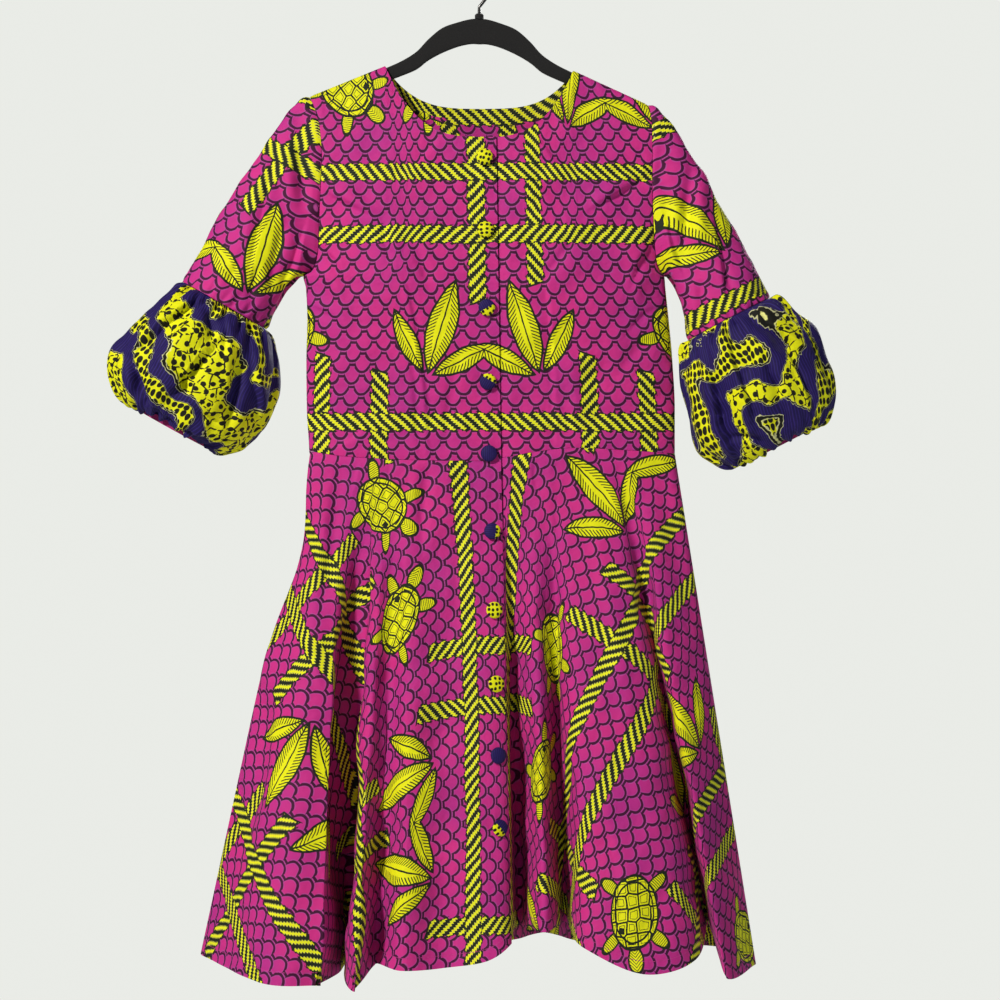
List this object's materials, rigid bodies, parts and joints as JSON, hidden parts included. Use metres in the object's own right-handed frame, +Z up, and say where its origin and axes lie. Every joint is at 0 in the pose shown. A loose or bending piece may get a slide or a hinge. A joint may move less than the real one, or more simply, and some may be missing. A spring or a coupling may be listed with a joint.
{
  "type": "wax print dress on a hanger",
  "caption": "Knee-length cotton wax print dress with a fitted bodice, flared skirt, bubble cuffs and a buttoned front, hanging on a flat hanger.",
  "frame": {"origin": "inner top of the hanger's hook, where a rod bears", "axes": "+Z up, +X towards the viewer's right (the wearer's left), the front of the dress faces -Y"},
  "size_m": [0.7678, 0.2183, 1.0766],
  "materials": {
    "printed_cotton": "plain-woven cotton, wax printed, with a low dry sheen",
    "contrast_cotton": "plain-woven cotton, wax printed in navy and yellow",
    "plain_cotton": "plain-woven cotton, dyed",
    "covered_button": "printed cotton pulled over a domed button blank",
    "flocked_plastic": "moulded plastic flocked with short black velvet pile",
    "hook_wire": "round steel wire with a smooth black coat"
  },
  "bodies": {
    "root": {"bodice_front_right": "printed_cotton", "bodice_front_left": "printed_cotton", "bodice_back": "printed_cotton", "neck_facing_back": "printed_cotton", "skirt_front_right": "printed_cotton", "skirt_front_left": "printed_cotton", "skirt_back": "printed_cotton", "sleeve_right": "printed_cotton", "sleeve_left": "printed_cotton", "cuff_right": "contrast_cotton", "cuff_left": "contrast_cotton", "cuff_band_right": "plain_cotton", "cuff_band_left": "plain_cotton", "button_01": "covered_button", "button_02": "covered_button", "button_03": "covered_button", "button_04": "covered_button", "button_05": "covered_button", "button_06": "covered_button", "button_07": "covered_button", "button_08": "covered_button", "button_09": "covered_button", "button_10": "covered_button", "hanger": "flocked_plastic", "hanger_collar": "flocked_plastic", "hanger_hook": "hook_wire"}
  },
  "joints": []
}
